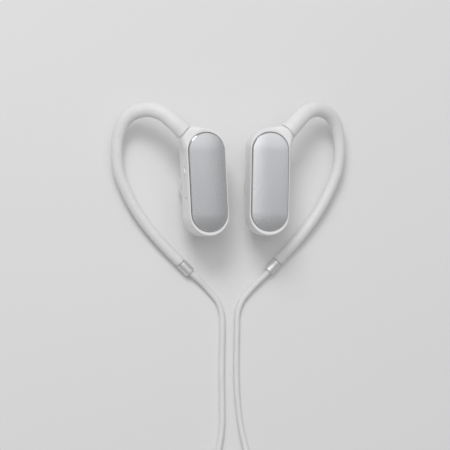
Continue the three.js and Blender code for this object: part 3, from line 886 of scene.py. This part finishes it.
def make_hook(side, material):
    """A tapered tube along the hook's route, a little thinner at its two ends."""
    route = hook_route(side)
    along = lengths_along(route)
    radii = [smooth_taper(a / along[-1]) for a in along]
    start_heading = (route[1] - route[0]).normalized() * MM
    end_heading = (route[-1] - route[-2]).normalized() * MM
    end = route[-1] + end_heading * HOOK_PAST
    clear = HOOK_CLEAR * MM
    inner = [k for k, a in enumerate(along) if clear < a < along[-1] - clear]
    tube = [(route[0] + start_heading * inwards, radii[0] * share) for inwards, share in HOOK_ENDS]
    tube += [(route[k], radii[k]) for k in inner]
    tube += [(end - end_heading * inwards, radii[-1] * share) for inwards, share in HOOK_ENDS[::-1]]
    rings = sweep([spot for spot, radius in tube], [radius for spot, radius in tube])
    piece = root_piece(f"{side}_ear_hook_fine", rings, material)
    stand_for(piece, "white_rubber", f"{side}_ear_hook")


def ring_frame(side):
    """Where the end ring starts, just past the hook's end, and its heading."""
    route = hook_route(side)
    heading = (route[-1] - route[-2]).normalized()
    return route[-1] + heading * END_RING["gap"] * MM, heading


def end_ring_profile():
    """The sleeve's closed outline, with its turned grooves near the hook."""
    outer, bore, corner = END_RING["radius"], END_RING["bore"], END_RING["corner"]
    length, flat, mouth = END_RING["length"], outer - corner, bore + END_RING["mouth"]
    profile = [(mouth, 0.0), (flat, 0.0)] + arc((flat, corner), corner, -90, 0, 6)
    profile += [(outer, 2 * corner)]
    for k in range(GROOVE["count"]):
        middle = GROOVE["first"] + GROOVE["apart"] * k
        profile += [
            (outer, middle - GROOVE["half_width"]), (outer - GROOVE["depth"], middle),
            (outer, middle + GROOVE["half_width"]),
        ]
    profile += [(outer, length - 0.3)]
    profile += arc((flat, length - corner), corner, 0, 90, 6) + [(mouth, length)]
    profile += [(bore, length - 0.4), (bore, 0.4)]
    return profile


def make_end_ring(side, material):
    start, heading = ring_frame(side)
    turn = heading.to_track_quat("Z", "Y").to_matrix().to_4x4()
    place = Matrix.Translation(start) @ turn @ Matrix.Scale(MM, 4)
    rings = [[place @ p for p in ring] for ring in turned_rings(end_ring_profile(), 48)]
    piece = root_piece(f"{side}_end_ring_fine", rings, material, looped=True)
    stand_for(piece, "satin_metal", f"{side}_end_ring")


def cord_start(side):
    """The cord's first point, in metres, inside the end ring's bore."""
    start, heading = ring_frame(side)
    return start + heading * END_RING["length"] * CORD_START * MM


def smooth_step(value, low, high):
    """0 up to low, 1 from high on, and an even curve between them."""
    share = max(0.0, min(1.0, (value - low) / (high - low)))
    return share * share * (3 - 2 * share)


def hank_run(side, turns):
    """One straight run of the hank: pinched at its waist, where the tie holds it."""
    half, fold, waist = HANK["run"] / 2, HANK["fold"], HANK["waist"]
    points = []
    for k in range(HANK["steps"] + 1):
        y = side * half * (2 * k / HANK["steps"] - 1)
        share = abs(y) / half
        x = waist + (fold - waist) * smooth_step(share, 0.15, 1)
        lift = HANK["under"] * (1 - smooth_step(share, 0.2, 0.85))
        z = CORD_REST + 2 * CORD_RADIUS * (turns + HANK["run_rise"] * k / HANK["steps"]) + lift
        points.append((side * x, HANK["y"] + y, z))
    return points


def hank_fold(side, turns):
    """The half turn between two runs."""
    half, fold, steps = HANK["run"] / 2, HANK["fold"], HANK["steps"]
    points = []
    for k in range(1, steps):
        a = math.pi * k / steps
        z = CORD_REST + 2 * CORD_RADIUS * (turns + HANK["fold_rise"] * k / steps)
        x = side * fold * math.cos(a)
        y = HANK["y"] + side * (half + fold * math.sin(a))
        points.append((x, y, z))
    return points


def hank_points():
    """The folded length: runs down one side and up the other, each turn on top of the last."""
    points = []
    turns = 0.0
    runs = 2 * HANK["loops"]
    for run in range(runs):
        side = -1 if run % 2 == 0 else 1
        points += hank_run(side, turns)
        turns += HANK["run_rise"]
        if run < runs - 1:
            points += hank_fold(side, turns)
            turns += HANK["fold_rise"]
    return points


def make_cord(material, tie):
    """The neck cord: from the right ring down into the hank and back up to the left ring."""
    down = [cord_start("right")] + [unit_point("right", p) for p in CORD_LINES["right"]]
    back = [cord_start("left")] + [unit_point("left", p) for p in CORD_LINES["left"]]
    wound = [unit_point("left", p) for p in hank_points()]
    route = down + wound + back[::-1]
    data = bpy.data.curves.new("neck_cord", "CURVE")
    data.dimensions = "3D"
    data.resolution_u = 6
    data.bevel_depth = CORD_RADIUS * MM
    data.bevel_resolution = 5
    data.use_fill_caps = True
    spline = data.splines.new("BEZIER")
    spline.bezier_points.add(len(route) - 1)
    for spot, place in zip(spline.bezier_points, route):
        spot.co = place
        spot.handle_left_type = spot.handle_right_type = "AUTO"
    data.materials.append(material)
    piece = bpy.data.objects.new("neck_cord", data)
    bpy.context.scene.collection.objects.link(piece)
    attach(piece, ROOT)
    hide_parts("right_neck_cord", "left_neck_cord", "cord_hank")


def tie_section():
    """The strap's closed section as (out from its inner face, along the cord), with eased edges."""
    wall, edge = TIE["wall"], TIE["edge"]
    flat, full = TIE["flat_share"] * TIE["length"], TIE["full_share"] * TIE["length"]
    return [
        (wall, -flat), (wall, flat), (wall - edge, full), (edge, full),
        (0, flat), (0, -flat), (edge, -full), (wall - edge, -full),
    ]


def make_tie(material):
    """A strap bent round the hank's waist, with its underside on the table."""
    rings = []
    for out, along in tie_section():
        low, high = TIE["wall"] - out, TIE["top"] - TIE["wall"] + out
        corner = TIE["corner"] - TIE["wall"] + out
        loop = rounded_rectangle(TIE["inside"] + out, (high - low) / 2, corner, 8)
        y, middle = HANK["y"] + along, (low + high) / 2
        rings.append([unit_point("left", (x, y, middle + z)) for x, z in loop])
    piece = root_piece("cord_tie_fine", rings, material, looped=True)
    stand_for(piece, "tie_grey", "cord_tie")
    return piece


# ---------------------------------------------------------------- keys, cover, light
def make_key(name, y, material):
    """A pill-shaped key with a dished top, and a flange behind the wall."""
    radius, top, corner = KEY["width"] / 2, KEY["top"], KEY["corner"]
    flange = radius + KEY["flange"]
    profile = [(flange, KEY["flange_from"]), (flange, KEY["flange_to"])]
    profile += [(radius, KEY["flange_to"] + 0.02), (radius, top - corner)]
    profile += arc((radius - corner, top - corner), corner, 0, 80, 5)
    profile += [(dish_radius, top - depth) for dish_radius, depth in KEY["dish"]]
    rings = side_rings(profile, (KEY["length"] - KEY["width"]) / 2, y, KEY["z"], -1)
    piece = pod_piece("right", f"{name}_key_fine", rings, [material], body=f"{name}_button")
    stand_for(piece, "white_rubber", f"{name}_key")


def cover_levels():
    """Sections of the cover along x: the plug that enters the port, then the lid."""
    half_y, half_z, corner = PORT["plug_length"], PORT["plug_height"], PORT["plug_corner"]
    levels = [(x, half_y - i, half_z - i, corner - i / 2) for x, i in PORT["plug_steps"]]
    for above, inset in COVER["steps"]:
        lid_corner = max(COVER["corner"] - inset, COVER["least_corner"])
        levels.append((
            COVER["back"] + above, COVER["half_length"] - inset, COVER["half_height"] - inset, lid_corner,
        ))
    return levels


def make_port_cover(material):
    """The rubber cover of the port, with its pull nub near the upper end."""
    rings = side_box_rings(cover_levels(), 0, COVER["z"])
    piece = pod_piece("right", "port_cover_fine", rings, [material], body="port_flap")
    radius, top, corner = NUB["radius"], NUB["top"], NUB["corner"]
    profile = [(radius, NUB["root"]), (radius, top - corner)]
    profile += arc((radius - corner, top - corner), corner, 0, 85, 5) + [(0.1, top)]
    nub_rings = side_rings(profile, NUB["straight"], NUB["y"], COVER["z"], 1)
    nub = pod_mesh("right", "nub", nub_rings, [material])
    join_meshes(piece, [nub])
    stand_for(piece, "white_rubber", "port_cover")


# ---------------------------------------------------------------- the CAD nodes that stay
def dress_inner_nodes():
    looks = {
        "steel": inner_material("steel", (0.55, 0.56, 0.58), 0.32, 1.0),
        "black_foam": inner_material("black_foam", (0.03, 0.03, 0.035), 0.9),
        "circuit_green": inner_material("circuit_green", (0.03, 0.16, 0.08), 0.45, 0.0, 300),
        "chip_black": inner_material("chip_black", (0.02, 0.02, 0.022), 0.45),
        "copper": inner_material("copper", (0.72, 0.42, 0.25), 0.3, 1.0),
        "foil": inner_material("foil", (0.6, 0.61, 0.63), 0.35, 0.9, 200),
        "light_guide": inner_material("light_guide", (0.88, 0.89, 0.9), 0.2),
        "ceramic": inner_material("ceramic", (0.75, 0.73, 0.68), 0.6),
        "dark_mesh": gauze_material(),
    }
    for part in RECORD["subparts"]:
        if part["material_slot"] not in looks:
            continue
        shown = frame["nodes"][part["node"]]
        for index in range(len(shown.data.materials)):
            shown.data.materials[index] = looks[part["material_slot"]]


def main():
    make_camera()
    strap, cord = strap_material(), rubber_material("cord_sheath", 0.8)
    make_cord(cord, make_tie(strap))
    make_world()
    make_lights()
    make_table()
    shell, rubber = shell_material(), rubber_material()
    plate, edge = plate_material(), cut_edge_material()
    metal, silicone = satin_metal_material(), silicone_material()
    for side in SIDES:
        make_outer_shell(side, shell)
        make_inner_shell(side, shell)
        make_face_plate(side, plate, edge)
        make_ear_tip(side, silicone)
        make_hook(side, rubber)
        make_end_ring(side, metal)
    for name, y in KEYS.items():
        make_key(name, y, rubber)
    make_port_cover(rubber)
    dress_inner_nodes()


main()
